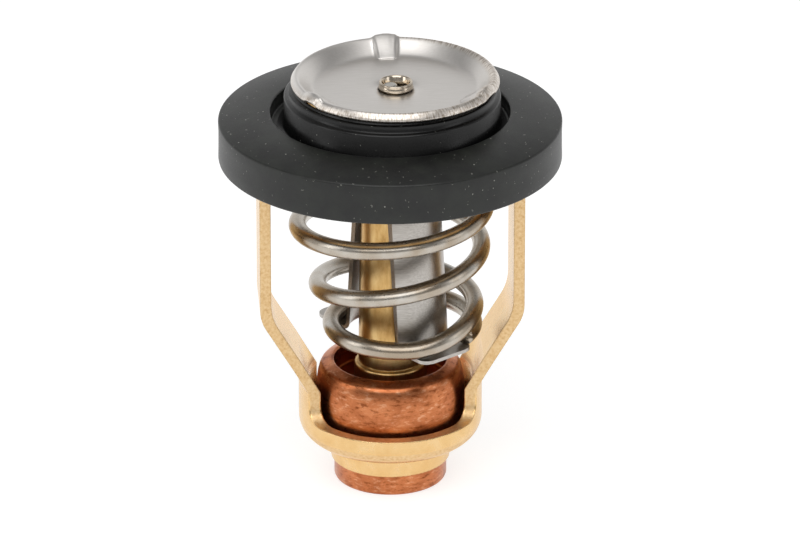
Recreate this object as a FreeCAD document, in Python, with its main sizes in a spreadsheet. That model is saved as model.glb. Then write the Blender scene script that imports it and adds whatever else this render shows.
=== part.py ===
import FreeCAD, Part
import math
import os

import Sketcher
from FreeCAD import Placement, Rotation, Vector

# Engine thermostat: a wax capsule in a brass yoke lifts a spring loaded disc off a rubber seat.
# Millimetres. The part stands on the capsule's stub, with +Z up the axis and the yoke's legs near X.

doc = FreeCAD.newDocument("thermostat_valve_unit")
sheet = doc.addObject("Spreadsheet::Sheet", "sizes")

# Driving dimensions
SIZES = {
    # Clearance between faces that are fitted to each other, and the reach of a cutting shape past them
    "fit_gap": 0.02,
    "cut_margin": 1.0,
    # Copper capsule
    "stub_radius": 7.95,
    "stub_edge_round": 0.4,
    "collar_radius": 10.65,
    "stub_root_round": 0.2,
    "collar_foot_round": 1.7,
    "shoulder_round": 2.2,
    "capsule_top": 17.4,
    "capsule_wall": 0.9,
    "mouth_radius": 8.2,
    "mouth_lip": 0.9,
    "mouth_edge_round": 0.2,
    "ledge_height": 11.0,
    "ledge_round": 0.4,
    "chamber_floor_round": 1.0,
    "wax_headroom": 0.5,
    "diaphragm_thickness": 1.0,
    # Brass guide
    "recess_floor": 14.4,
    "recess_wall": 1.4,
    "boss_radius": 5.1,
    "boss_top": 17.7,
    "boss_round": 0.5,
    "recess_lip_round": 0.3,
    "stem_foot_round": 0.12,
    "stem_top_round": 0.6,
    "stem_foot_radius": 4.5,
    "stem_tip_radius": 4.15,
    "stem_top": 46.0,
    "piston_radius": 1.9,
    "running_gap": 0.05,
    "plug_length": 5.0,
    "washer_thickness": 0.8,
    "piston_tip_radius": 1.0,
    "piston_chamfer_round": 0.3,
    # Brass yoke
    "yoke_sheet": 1.55,
    "cup_gap": 0.75,
    "stub_gap": 0.05,
    "cup_underside": 6.2,
    "cup_bend": 1.8,
    "throat_bottom": 3.06,
    "throat_wall": 0.45,
    "throat_spread": 0.25,
    "throat_flare": 0.7,
    "throat_lip_round": 0.15,
    "throat_mouth_round": 0.3,
    "rim_height": 10.6,
    "rim_sweep": 2.4,
    "leg_width": 10.5,
    "leg_clearance": 2.35,
    "lower_bend_height": 17.4,
    "upper_bend_height": 26.7,
    "bend_radius": 5.5,
    "root_below_bend": 2.4,
    "root_along_slant": 3.0,
    "leg_yaw": 3.6,
    "tab_width": 5.0,
    "tab_stand": 0.6,
    "slot_gap": 0.05,
    # Brass flange
    "flange_underside": 50.9,
    "flange_sheet": 1.0,
    "flange_margin": 3.05,
    "bore_radius": 12.6,
    "neck_wall": 0.9,
    "neck_height": 6.5,
    "neck_bend": 0.8,
    "flange_edge_round": 0.2,
    # Rubber gasket
    "gasket_grip": 2.4,
    "gasket_clearance": 1.57,
    "gasket_drop": 2.1,
    "gasket_edge_height": 5.8,
    "gasket_crown": 1.2,
    "gasket_side_hollow": 0.25,
    "gasket_lip": 0.8,
    "gasket_web": 0.7,
    "gasket_edge_round": 0.15,
    "gasket_hole_round": 0.3,
    "gasket_hollow_round": 0.8,
    "tab_room": 1.1,
    "rim_gap": 0.3,
    "leg_room": 0.5,
    # Rubber seat ring
    "seat_wall": 1.63,
    "seat_over_neck": 0.94,
    "seat_bead_width": 0.3,
    "seat_gap": 0.15,
    "seat_groove": 0.25,
    "seat_groove_drop": 0.9,
    "seat_foot_gap": 0.08,
    "seat_edge_round": 0.25,
    "seat_bead_round": 0.1,
    # Stainless disc
    "disc_sink": 0.19,
    "disc_sheet": 0.7,
    "disc_floor_inset": 1.0,
    "disc_crest_outset": 0.3,
    "disc_skirt_run": 0.9,
    "disc_crest_rise": 2.0,
    "disc_skirt_drop": 1.1,
    "crest_round": 0.9,
    "floor_round": 0.8,
    "rib_width": 3.6,
    "rib_rise": 0.68,
    "rib_angle": 98.5,
    "rib_count": 3,
    "rib_overlap": 0.15,
    "rib_sink": 0.02,
    "rib_fade": 0.5,
    # Rivet
    "rivet_hole_radius": 1.65,
    "rivet_wall": 0.35,
    "rivet_head_radius": 2.25,
    "rivet_stand": 1.0,
    "rivet_foot_radius": 2.9,
    "rivet_foot_thickness": 0.4,
    "rivet_head_swell": 0.1,
    "rivet_head_round": 0.3,
    # Stainless bracket
    "bracket_sheet": 0.5,
    "bracket_width": 9.0,
    "bracket_angle": -50.0,
    "bracket_knee_radius": 4.8,
    "bracket_ankle_radius": 6.9,
    "foot_radius": 12.5,
    "foot_top": 22.1,
    "bracket_bend": 0.8,
    "foot_corner": 1.6,
    "bracket_shift": 0.55,
    # Stainless spring
    "wire_radius": 1.25,
    "coil_outset": 0.8,
    "coil_radius_bottom": 10.0,
    "coil_shift": 1.7,
    "coil_narrow_from": 0.88,
    "coil_narrow_to": 2.73,
    "coil_end_angle": -29.0,
}


class Size:
    """A number from the sheet together with the formula that binds a feature to it."""

    def __init__(self, value, formula=None):
        self.value = float(value)
        self.formula = formula if formula else repr(float(value))

    def __add__(self, other):
        other = as_size(other)
        return Size(self.value + other.value, f"({self.formula} + {other.formula})")

    def __sub__(self, other):
        other = as_size(other)
        return Size(self.value - other.value, f"({self.formula} - {other.formula})")

    def __mul__(self, other):
        other = as_size(other)
        return Size(self.value * other.value, f"({self.formula} * {other.formula})")

    def __truediv__(self, other):
        other = as_size(other)
        return Size(self.value / other.value, f"({self.formula} / {other.formula})")

    def __radd__(self, other):
        return as_size(other) + self

    def __rsub__(self, other):
        return as_size(other) - self

    def __rmul__(self, other):
        return as_size(other) * self

    def __neg__(self):
        return Size(0.0) - self


def as_size(number):
    """A plain number as a Size."""
    return number if isinstance(number, Size) else Size(number)


def root(size):
    """Square root, kept as a formula."""
    return Size(math.sqrt(size.value), f"sqrt({size.formula})")


class Sheet:
    """Reads the spreadsheet's named cells as attributes."""

    def __init__(self, sizes):
        for row, (alias, number) in enumerate(sizes.items(), start=1):
            sheet.set(f"A{row}", alias)
            sheet.set(f"B{row}", str(number))
            sheet.setAlias(f"B{row}", alias)
            setattr(self, alias, Size(number, f"sizes.{alias}"))


s = Sheet(SIZES)
doc.recompute()

# Heights and radii that several pieces share
collar_underside = s.cup_underside + s.yoke_sheet
cup_inner_radius = s.collar_radius + s.cup_gap
cup_outer_radius = cup_inner_radius + s.yoke_sheet
chamber_radius = s.collar_radius - s.capsule_wall
wax_radius = s.stub_radius - s.capsule_wall
diaphragm_top = s.ledge_height + s.diaphragm_thickness
lip_underside = s.capsule_top - s.mouth_lip
guide_bore = s.piston_radius + s.running_gap
plug_top = diaphragm_top + s.plug_length
piston_bottom = plug_top + s.washer_thickness
flange_top = s.flange_underside + s.flange_sheet
coil_radius_top = s.bore_radius + s.coil_outset
leg_reach = coil_radius_top + s.wire_radius + s.leg_clearance
leg_outside = leg_reach + s.yoke_sheet
flange_radius = leg_outside + s.flange_margin
gasket_radius = flange_radius + s.gasket_grip
neck_radius = s.bore_radius + s.neck_wall
seat_radius = neck_radius + s.seat_wall
gasket_hole_radius = seat_radius + s.gasket_clearance
disc_floor_radius = s.bore_radius - s.disc_floor_inset
disc_crest_radius = neck_radius + s.disc_crest_outset
disc_radius = disc_crest_radius + s.disc_skirt_run
neck_top = flange_top + s.neck_height
seat_top = neck_top + s.seat_over_neck
disc_floor_top = seat_top - s.disc_sink
disc_underside = disc_floor_top - s.disc_sheet
bracket_underside = disc_underside - s.bracket_sheet
rivet_radius = s.rivet_hole_radius + s.rivet_wall
rivet_bottom = bracket_underside - s.rivet_foot_thickness


def origin_plane(body, role):
    """One of the body's own origin planes."""
    for feature in body.Origin.OriginFeatures:
        if feature.Role == role:
            return feature
    raise ValueError(role)


def make_body(name):
    body = doc.addObject("PartDesign::Body", name)
    body.Label = name
    return body


def locate(sketch, geometry, point, corner):
    """Binds one point of a sketch to its two sizes."""
    for kind, size in (("DistanceX", corner[0]), ("DistanceY", corner[1])):
        size = as_size(size)
        index = sketch.addConstraint(Sketcher.Constraint(kind, -1, 1, geometry, point, size.value))
        sketch.setExpression(f"Constraints[{index}]", size.formula)


def corner_arc(before, corner, after, radius):
    """The arc that rounds a corner: its two ends, its centre and whether it turns left."""
    towards_before = (before - corner).normalize()
    towards_after = (after - corner).normalize()
    half = towards_before.getAngle(towards_after) / 2
    reach = radius / math.tan(half)
    bisector = (towards_before + towards_after).normalize()
    centre = corner + bisector * (radius / math.sin(half))
    turns_left = (corner - before).cross(after - corner).z > 0
    return corner + towards_before * reach, corner + towards_after * reach, centre, turns_left


def arc_from(start, end, centre):
    """Arc of a circle that runs anticlockwise from start to end."""
    circle = Part.Circle(centre, Vector(0, 0, 1), (start - centre).Length)
    first = math.atan2(start.y - centre.y, start.x - centre.x)
    last = math.atan2(end.y - centre.y, end.x - centre.x)
    if last < first:
        last += 2 * math.pi
    return Part.ArcOfCircle(circle, first, last)


def draw_outline(sketch, corners):
    """Closed outline. Each corner is (across, up) or (across, up, rounding radius)."""
    points = [Vector(as_size(c[0]).value, as_size(c[1]).value, 0) for c in corners]
    count = len(corners)
    starts = {}
    ends = {}
    arcs = {}
    for i in range(count):
        starts[i] = points[i]
        ends[i] = points[i]
        if len(corners[i]) == 3:
            radius = as_size(corners[i][2]).value
            arcs[i] = corner_arc(points[i - 1], points[i], points[(i + 1) % count], radius)
            ends[i] = arcs[i][0]
            starts[i] = arcs[i][1]
    lines = [
        sketch.addGeometry(Part.LineSegment(starts[i], ends[(i + 1) % count]), False) for i in range(count)
    ]
    for i in range(count):
        arriving, leaving = lines[i - 1], lines[i]
        if i not in arcs:
            sketch.addConstraint(Sketcher.Constraint("Coincident", arriving, 2, leaving, 1))
            locate(sketch, leaving, 1, corners[i])
            continue
        arrival, departure, centre, turns_left = arcs[i]
        if turns_left:
            arc = sketch.addGeometry(arc_from(arrival, departure, centre), False)
            first, last = 1, 2
        else:
            arc = sketch.addGeometry(arc_from(departure, arrival, centre), False)
            first, last = 2, 1
        sketch.addConstraint(Sketcher.Constraint("Tangent", arriving, 2, arc, first))
        sketch.addConstraint(Sketcher.Constraint("Tangent", leaving, 1, arc, last))
        radius = as_size(corners[i][2])
        index = sketch.addConstraint(Sketcher.Constraint("Radius", arc, radius.value))
        sketch.setExpression(f"Constraints[{index}]", radius.formula)
        vertex = sketch.addGeometry(Part.Point(points[i]), True)
        sketch.addConstraint(Sketcher.Constraint("PointOnObject", vertex, 1, arriving))
        sketch.addConstraint(Sketcher.Constraint("PointOnObject", vertex, 1, leaving))
        locate(sketch, vertex, 1, corners[i])


def add_sketch(body, name, corners, role="XZ_Plane"):
    sketch = body.newObject("Sketcher::SketchObject", name)
    sketch.AttachmentSupport = [(origin_plane(body, role), "")]
    sketch.MapMode = "FlatFace"
    draw_outline(sketch, corners)
    return sketch


def revolve(body, name, corners):
    """Turns an outline drawn in the XZ plane once round the axis."""
    sketch = add_sketch(body, f"{name}_outline", corners)
    feature = body.newObject("PartDesign::Revolution", name)
    feature.Profile = sketch
    feature.ReferenceAxis = (sketch, ["V_Axis"])
    feature.Angle = 360.0
    return feature


def pad_both_ways(body, name, corners, width, role="XZ_Plane"):
    """Pads an outline by half the width to each side of its plane."""
    feature = body.newObject("PartDesign::Pad", name)
    feature.Profile = add_sketch(body, f"{name}_outline", corners, role)
    feature.SideType = "Symmetric"
    feature.setExpression("Length", as_size(width).formula)
    return feature


def cut_both_ways(body, name, corners, width, role="XZ_Plane"):
    """Pockets an outline to each side of its plane."""
    feature = body.newObject("PartDesign::Pocket", name)
    feature.Profile = add_sketch(body, f"{name}_outline", corners, role)
    feature.SideType = "Symmetric"
    feature.setExpression("Length", as_size(width).formula)
    return feature


def boolean(kind, name, pieces):
    """Part boolean of whole objects: Cut takes two, MultiFuse and MultiCommon take a list."""
    result = doc.addObject(kind, name)
    result.Label = name
    if kind == "Part::Cut":
        result.Base, result.Tool = pieces
    else:
        result.Shapes = pieces
    return result


# Copper capsule: stub, collar seated in the cup, and a lip rolled in over the guide
def make_capsule():
    body = make_body("wax_capsule_shell")
    revolve(body, "shell", [
        (0, 0),
        (s.stub_radius, 0, s.stub_edge_round),
        (s.stub_radius, collar_underside, s.stub_root_round),
        (s.collar_radius, collar_underside, s.collar_foot_round),
        (s.collar_radius, s.capsule_top, s.shoulder_round),
        (s.mouth_radius, s.capsule_top, s.mouth_edge_round),
        (s.mouth_radius, lip_underside),
        (chamber_radius, lip_underside),
        (chamber_radius, s.ledge_height),
        (wax_radius, s.ledge_height, s.ledge_round),
        (wax_radius, s.capsule_wall, s.chamber_floor_round),
        (0, s.capsule_wall),
    ])
    return body


# Wax charge that fills the capsule below the diaphragm
def make_wax():
    body = make_body("wax_charge")
    revolve(body, "charge", [
        (0, s.capsule_wall + s.fit_gap),
        (wax_radius - s.fit_gap, s.capsule_wall + s.fit_gap, s.chamber_floor_round + s.fit_gap),
        (wax_radius - s.fit_gap, s.ledge_height - s.wax_headroom),
        (0, s.ledge_height - s.wax_headroom),
    ])
    return body


# Rubber diaphragm clamped between the ledge and the guide
def make_diaphragm():
    body = make_body("rubber_diaphragm")
    revolve(body, "sheet_rubber", [
        (0, s.ledge_height),
        (chamber_radius - s.fit_gap, s.ledge_height),
        (chamber_radius - s.fit_gap, diaphragm_top),
        (0, diaphragm_top),
    ])
    return body


# Brass guide: a base under the rolled lip, an annular recess, a boss and a tapered stem
def make_guide():
    body = make_body("brass_guide_stem")
    revolve(body, "guide", [
        (guide_bore, diaphragm_top),
        (chamber_radius - s.fit_gap, diaphragm_top),
        (chamber_radius - s.fit_gap, lip_underside),
        (chamber_radius - s.recess_wall, lip_underside, s.recess_lip_round),
        (chamber_radius - s.recess_wall, s.recess_floor, s.boss_round),
        (s.boss_radius, s.recess_floor, s.boss_round),
        (s.boss_radius, s.boss_top, s.boss_round),
        (s.stem_foot_radius, s.boss_top, s.stem_foot_round),
        (s.stem_tip_radius, s.stem_top, s.stem_top_round),
        (guide_bore, s.stem_top, s.stem_top_round / 2),
    ])
    return body


# Rubber plug and its washer in the guide's bore, below the piston
def make_bore_pieces():
    plug = make_body("rubber_plug")
    revolve(plug, "plug", [
        (0, diaphragm_top),
        (guide_bore - s.fit_gap, diaphragm_top),
        (guide_bore - s.fit_gap, plug_top),
        (0, plug_top),
    ])
    washer = make_body("bore_washer")
    revolve(washer, "washer", [
        (0, plug_top),
        (guide_bore - s.fit_gap, plug_top),
        (guide_bore - s.fit_gap, piston_bottom),
        (0, piston_bottom),
    ])
    return [plug, washer]


# Steel piston: slides in the guide and pushes the rivet's foot, with its tip in the rivet's hole
def make_piston():
    body = make_body("steel_piston")
    revolve(body, "piston", [
        (0, piston_bottom),
        (s.piston_radius, piston_bottom, s.piston_chamfer_round),
        (s.piston_radius, rivet_bottom, s.piston_chamfer_round),
        (s.piston_tip_radius, rivet_bottom, s.piston_chamfer_round / 3),
        (s.piston_tip_radius, disc_floor_top + s.rivet_stand / 2, s.piston_chamfer_round),
        (0, disc_floor_top + s.rivet_stand / 2),
    ])
    return body


# Brass yoke: a drawn cup with a throat round the stub, and two strip legs bent outwards
def make_yoke():
    half_width = s.leg_width / 2
    wall_top = s.lower_bend_height - s.root_below_bend
    lift = s.upper_bend_height - s.lower_bend_height
    reach = leg_reach - cup_inner_radius
    slant_length = root(lift * lift + reach * reach)
    rise = lift / slant_length
    run = reach / slant_length

    cup = make_body("yoke_cup")
    revolve(cup, "cup", [
        (s.stub_radius + s.stub_gap, s.throat_bottom),
        (s.stub_radius + s.throat_wall, s.throat_bottom, s.throat_lip_round),
        (s.stub_radius + s.throat_wall + s.throat_spread, s.cup_underside, s.throat_flare),
        (cup_outer_radius, s.cup_underside, s.cup_bend + s.yoke_sheet),
        (cup_outer_radius, wall_top),
        (cup_inner_radius, wall_top),
        (cup_inner_radius, collar_underside, s.cup_bend),
        (s.stub_radius + s.stub_gap, collar_underside, s.throat_mouth_round),
    ])
    far = cup_outer_radius * 2
    above = wall_top + s.cut_margin
    for name, side in (("rim_front", -1), ("rim_back", 1)):
        cut_both_ways(cup, name, [
            (side * half_width, s.rim_height, s.rim_sweep),
            (side * far, s.rim_height),
            (side * far, above),
            (side * half_width, above),
        ], far * 2, "YZ_Plane")

    # The strip leaves the round cup wall at wall_top and is flat once it has run up the slant a little
    inner_x = cup_inner_radius + run * s.root_along_slant
    inner_z = s.lower_bend_height + rise * s.root_along_slant
    outer_x = inner_x + s.yoke_sheet * rise
    outer_z = inner_z - s.yoke_sheet * run
    outer_bend_z = s.upper_bend_height - s.yoke_sheet * run / (1 + rise)
    legs = []
    for name, side in (("leg_right", 1), ("leg_left", -1)):
        strip = make_body(name)
        pad_both_ways(strip, f"{name}_strip", [
            (side * inner_x, inner_z),
            (side * leg_reach, s.upper_bend_height, s.bend_radius + s.yoke_sheet),
            (side * leg_reach, s.flange_underside),
            (side * leg_outside, s.flange_underside),
            (side * leg_outside, outer_bend_z, s.bend_radius),
            (side * outer_x, outer_z),
        ], s.leg_width)
        pad_both_ways(strip, f"{name}_tab", [
            (side * leg_reach, s.flange_underside - s.cut_margin),
            (side * leg_reach, flange_top + s.tab_stand),
            (side * leg_outside, flange_top + s.tab_stand),
            (side * leg_outside, s.flange_underside - s.cut_margin),
        ], s.tab_width)
        legs.append(strip)
        legs.append(make_leg_root(name, side, wall_top, (inner_x, inner_z), (outer_x, outer_z)))

    yoke = boolean("Part::MultiFuse", "brass_yoke", [cup] + legs)
    yoke.setExpression("Placement.Rotation.Angle", s.leg_yaw.formula)
    return yoke


def make_leg_root(name, side, wall_top, inner, outer):
    """Bend between the cup's round wall and the flat strip, ruled from one section to the other."""
    half = s.leg_width / 2
    inner_edge = root(cup_inner_radius * cup_inner_radius - half * half)
    outer_edge = root(cup_outer_radius * cup_outer_radius - half * half)

    def corner(size_x, size_y, size_z):
        return Vector(as_size(size_x).value * side, as_size(size_y).value, as_size(size_z).value)

    round_section = Part.Wire([
        Part.Arc(corner(outer_edge, -half, wall_top), corner(cup_outer_radius, 0, wall_top),
                 corner(outer_edge, half, wall_top)).toShape(),
        Part.makeLine(corner(outer_edge, half, wall_top), corner(inner_edge, half, wall_top)),
        Part.Arc(corner(inner_edge, half, wall_top), corner(cup_inner_radius, 0, wall_top),
                 corner(inner_edge, -half, wall_top)).toShape(),
        Part.makeLine(corner(inner_edge, -half, wall_top), corner(outer_edge, -half, wall_top)),
    ])
    flat_section = Part.makePolygon([
        corner(outer[0], -half, outer[1]),
        corner(outer[0], half, outer[1]),
        corner(inner[0], half, inner[1]),
        corner(inner[0], -half, inner[1]),
        corner(outer[0], -half, outer[1]),
    ])
    bend = doc.addObject("Part::Feature", f"{name}_root")
    bend.Shape = Part.makeLoft([round_section, flat_section], True, True)
    return bend


# Brass flange: a round plate under the gasket's lip, drawn up into a neck that carries the seat
def make_flange():
    body = make_body("brass_flange")
    revolve(body, "plate_and_neck", [
        (s.bore_radius, s.flange_underside, s.neck_bend + s.neck_wall),
        (flange_radius, s.flange_underside, s.flange_edge_round),
        (flange_radius, flange_top, s.flange_edge_round),
        (neck_radius, flange_top, s.neck_bend),
        (neck_radius, neck_top, s.flange_edge_round),
        (s.bore_radius, neck_top, s.flange_edge_round),
    ])
    half = s.tab_width / 2 + s.slot_gap
    for name, side in (("slot_right", 1), ("slot_left", -1)):
        cut_both_ways(body, name, [
            (side * (leg_reach - s.slot_gap), s.flange_underside - s.cut_margin),
            (side * (leg_outside + s.slot_gap), s.flange_underside - s.cut_margin),
            (side * (leg_outside + s.slot_gap), flange_top + s.cut_margin),
            (side * (leg_reach - s.slot_gap), flange_top + s.cut_margin),
        ], half * 2)
    body.setExpression("Placement.Rotation.Angle", s.leg_yaw.formula)
    return body


# Rubber gasket: a thick ring whose groove grips the flange's rim, with a coned top
def make_gasket():
    bottom = s.flange_underside - s.gasket_drop
    edge_top = bottom + s.gasket_edge_height
    leg_corner = root(leg_outside * leg_outside + s.leg_width * s.leg_width / 4)
    body = make_body("rubber_gasket")
    revolve(body, "ring", [
        (leg_corner + s.leg_room, bottom, s.gasket_edge_round),
        (gasket_radius, bottom, s.gasket_edge_round),
        (gasket_radius, bottom + s.gasket_lip),
        (gasket_radius - s.gasket_side_hollow, bottom + s.gasket_lip * 2, s.gasket_hollow_round),
        (gasket_radius - s.gasket_side_hollow, edge_top - s.gasket_lip * 2, s.gasket_hollow_round),
        (gasket_radius, edge_top - s.gasket_lip),
        (gasket_radius, edge_top, s.gasket_edge_round),
        (gasket_hole_radius, edge_top + s.gasket_crown, s.gasket_hole_round),
        (gasket_hole_radius, flange_top + s.tab_room + s.gasket_web, s.gasket_hole_round),
        (seat_radius + s.fit_gap * 2, flange_top + s.tab_room + s.gasket_web),
        (seat_radius + s.fit_gap * 2, flange_top + s.tab_room),
        (leg_corner + s.leg_room, flange_top + s.tab_room),
        (leg_corner + s.leg_room, flange_top),
        (flange_radius + s.rim_gap, flange_top),
        (flange_radius + s.rim_gap, s.flange_underside),
        (leg_corner + s.leg_room, s.flange_underside),
    ])
    return body


# Rubber seat ring pushed over the neck, with a bead that fits the fold under the disc's rim
def make_seat():
    groove = seat_top - s.seat_groove_drop
    foot = flange_top + s.neck_bend + s.seat_foot_gap
    rim = RimSection()
    inner = s.bore_radius - s.running_gap
    bead_inner = rim.apex[0] - s.seat_bead_width

    def below_slope(radius):
        return disc_underside + (radius - rim.under_corner[0]) * rim.inner_rate - s.seat_gap

    bead_top = below_slope(bead_inner)
    body = make_body("rubber_seat_ring")
    revolve(body, "seat", [
        (neck_radius + s.fit_gap, foot),
        (seat_radius, foot, s.seat_edge_round),
        (seat_radius, groove - s.seat_groove),
        (seat_radius - s.seat_groove, groove),
        (seat_radius, groove + s.seat_groove),
        (seat_radius, seat_top, s.seat_edge_round),
        (rim.apex[0] + s.seat_bead_width, seat_top, s.seat_bead_round),
        (rim.apex[0], bead_top, s.seat_bead_round),
        (bead_inner, bead_top, s.seat_bead_round),
        (inner, below_slope(inner)),
        (inner, neck_top + s.fit_gap),
        (neck_radius + s.fit_gap, neck_top + s.fit_gap),
    ])
    return body


# Stainless disc: a shallow dish with a folded rim and three pressed ribs across it
class RimSection:
    """Corners of the sheet's section where the floor turns up, folds over and ends in a skirt."""

    def __init__(self):
        self.crest_z = disc_floor_top + s.disc_crest_rise
        self.skirt_z = self.crest_z - s.disc_skirt_drop
        inner_run = disc_crest_radius - disc_floor_radius
        outer_run = disc_radius - disc_crest_radius
        inner_slope = root(inner_run * inner_run + s.disc_crest_rise * s.disc_crest_rise)
        outer_slope = root(outer_run * outer_run + s.disc_skirt_drop * s.disc_skirt_drop)
        self.inner_rate = s.disc_crest_rise / inner_run
        outer_rate = s.disc_skirt_drop / outer_run
        # The underside lies one sheet thickness away from both slopes
        corner_step = s.disc_sheet * (inner_slope - inner_run) / s.disc_crest_rise
        self.under_corner = (disc_floor_radius + corner_step, disc_underside)
        self.skirt_end = (
            disc_radius - s.disc_sheet * s.disc_skirt_drop / outer_slope,
            self.skirt_z - s.disc_sheet * outer_run / outer_slope,
        )
        inner_drop = s.disc_sheet * inner_slope / inner_run
        outer_drop = s.disc_sheet * outer_slope / outer_run
        apex_step = (outer_drop - inner_drop) / (self.inner_rate + outer_rate)
        self.apex = (
            disc_crest_radius - apex_step,
            self.crest_z - inner_drop - apex_step * self.inner_rate,
        )


def make_disc():
    rim = RimSection()
    dish = make_body("dish")
    revolve(dish, "dish_sheet", [
        (rivet_radius + s.fit_gap, disc_underside),
        (*rim.under_corner, s.floor_round),
        (*rim.apex, s.crest_round / 4),
        rim.skirt_end,
        (disc_radius, rim.skirt_z),
        (disc_crest_radius, rim.crest_z, s.crest_round),
        (disc_floor_radius, disc_floor_top, s.floor_round),
        (rivet_radius + s.fit_gap, disc_floor_top),
    ])
    slot_half = s.rib_width / 2 - s.rib_overlap * 2
    slot_inner = disc_floor_radius - s.rib_fade
    slot_base = disc_underside - s.cut_margin
    slots = []
    ribs = []
    for index in range(int(s.rib_count.value)):
        turn = Rotation(Vector(0, 0, 1), s.rib_angle.value + 360.0 * index / s.rib_count.value)
        slot = doc.addObject("Part::Box", f"rib_slot_{index}")
        slot.setExpression("Length", (disc_radius * 1.2 - slot_inner).formula)
        slot.setExpression("Width", (slot_half * 2).formula)
        slot.setExpression("Height", (s.disc_crest_rise + s.disc_sheet + s.rib_rise + s.cut_margin * 2).formula)
        corner = turn.multVec(Vector(slot_inner.value, -slot_half.value, 0))
        slot.Placement = Placement(Vector(corner.x, corner.y, slot_base.value), turn)
        slots.append(slot)
        rib = doc.addObject("Part::Feature", f"rib_{index}")
        rib.Shape = rib_shape((slot_inner - s.rib_overlap).value)
        rib.Placement = Placement(Vector(0, 0, 0), turn)
        ribs.append(rib)
    slotted = boolean("Part::Cut", "slotted_dish", [dish, boolean("Part::MultiFuse", "rib_slots", slots)])
    disc = boolean("Part::MultiFuse", "valve_disc", [slotted] + ribs)
    return disc


def rib_shape(inner_end):
    """One pressed rib: the rim's section carried sideways while it rises and falls again."""
    rim = RimSection()
    half = s.rib_width.value / 2
    rise = s.rib_rise.value
    chain = [
        (inner_end, disc_underside.value),
        (rim.under_corner[0].value, disc_underside.value),
        (rim.apex[0].value, rim.apex[1].value),
        (rim.skirt_end[0].value, rim.skirt_end[1].value),
        (disc_radius.value, rim.skirt_z.value),
        (disc_crest_radius.value + 0.22, rim.crest_z.value - 0.17),
        (disc_crest_radius.value - 0.26, rim.crest_z.value - 0.14),
        (disc_floor_radius.value + 0.12, disc_floor_top.value + 0.05),
        (disc_floor_radius.value - 0.25, disc_floor_top.value),
        (inner_end, disc_floor_top.value),
    ]
    foot = (disc_floor_radius.value - 0.25, disc_crest_radius.value - 0.9)

    def lift(radius, aside):
        """Full height over the rim, fading to none where the floor begins."""
        fade = min(1.0, max(0.0, (radius - foot[0] + 0.5) / (foot[1] - foot[0] + 0.5)))
        return (rise + 0.04) * math.cos(math.pi / 2 * aside / half) * fade - 0.02

    sections = []
    for step in range(-4, 5):
        aside = half * 1.02 * step / 4
        around = []
        for radius, height in chain:
            along = math.sqrt(radius * radius - aside * aside)
            around.append(Vector(along, aside, height + lift(radius, min(half, abs(aside)))))
        sections.append(Part.makePolygon(around + around[:1]))
    return Part.makeLoft(sections, True, False)


# Rivet through disc and bracket, with a rolled head that stands above the floor
def make_rivet():
    body = make_body("centre_rivet")
    revolve(body, "rivet", [
        (s.rivet_hole_radius, rivet_bottom, s.rivet_head_round / 3),
        (s.rivet_foot_radius, rivet_bottom, s.rivet_head_round / 2),
        (s.rivet_foot_radius, bracket_underside),
        (rivet_radius, bracket_underside),
        (rivet_radius, disc_floor_top),
        (s.rivet_head_radius - s.rivet_head_swell, disc_floor_top),
        (s.rivet_head_radius, disc_floor_top + s.rivet_stand, s.rivet_head_round),
        (s.rivet_hole_radius, disc_floor_top + s.rivet_stand, s.rivet_head_round * 0.7),
    ])
    return body


# Stainless bracket: one strip, curved round the guide, with feet turned out under the spring
def make_bracket():
    ankle = s.foot_top - s.bracket_sheet
    bell = make_body("bracket_bell")
    revolve(bell, "bell", [
        (0, bracket_underside),
        (s.bracket_knee_radius - s.bracket_sheet, bracket_underside, s.bracket_bend),
        (s.bracket_ankle_radius - s.bracket_sheet, ankle, s.bracket_bend + s.bracket_sheet),
        (s.foot_radius, ankle),
        (s.foot_radius, s.foot_top),
        (s.bracket_ankle_radius, s.foot_top, s.bracket_bend),
        (s.bracket_knee_radius, disc_underside, s.bracket_bend + s.bracket_sheet),
        (0, disc_underside),
    ])
    strip = make_body("bracket_strip")
    length = root(s.foot_radius * s.foot_radius - s.bracket_width * s.bracket_width / 4) + s.cut_margin / 2
    half = s.bracket_width / 2
    blank = strip.newObject("PartDesign::Pad", "blank")
    blank.Profile = add_sketch(strip, "blank_outline", [
        (-length, -half, s.foot_corner),
        (length, -half, s.foot_corner),
        (length, half, s.foot_corner),
        (-length, half, s.foot_corner),
    ], "XY_Plane")
    blank.setExpression("Length", (disc_floor_top + s.cut_margin).formula)
    formed = boolean("Part::MultiCommon", "formed_strip", [bell, strip])
    formed.setExpression("Placement.Base.x", s.bracket_shift.formula)
    formed.setExpression("Placement.Rotation.Angle", s.bracket_angle.formula)
    hole = doc.addObject("Part::Cylinder", "rivet_hole")
    hole.setExpression("Radius", (rivet_radius + s.fit_gap).formula)
    hole.setExpression("Height", (s.bracket_sheet * 3).formula)
    hole.setExpression("Placement.Base.z", (bracket_underside - s.bracket_sheet).formula)
    return boolean("Part::Cut", "spring_bracket", [formed, hole])


# Stainless conical spring between the flange and the bracket's feet, uneven as it was wound.
# Each station is a number of turns from the lower end and how far the wire has climbed there,
# from 0 where it lies on the feet to 1 where it lies under the flange.
SPRING_POINTS_PER_TURN = 16
COIL_STATIONS = [
    (0.0, 0.0),
    (0.83, 0.0),
    (1.08, 0.106),
    (1.58, 0.237),
    (2.08, 0.454),
    (2.58, 0.581),
    (3.08, 0.705),
    (4.03, 1.0),
    (4.55, 1.0),
]


def station_slope(index):
    """Steepness at a station: level where the climb stops, the neighbours' harmonic mean elsewhere."""
    if index in (0, len(COIL_STATIONS) - 1):
        return 0.0
    before, here, after = COIL_STATIONS[index - 1:index + 2]
    below = (here[1] - before[1]) / (here[0] - before[0])
    above = (after[1] - here[1]) / (after[0] - here[0])
    return 2 * below * above / (below + above) if below * above > 0 else 0.0


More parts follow.
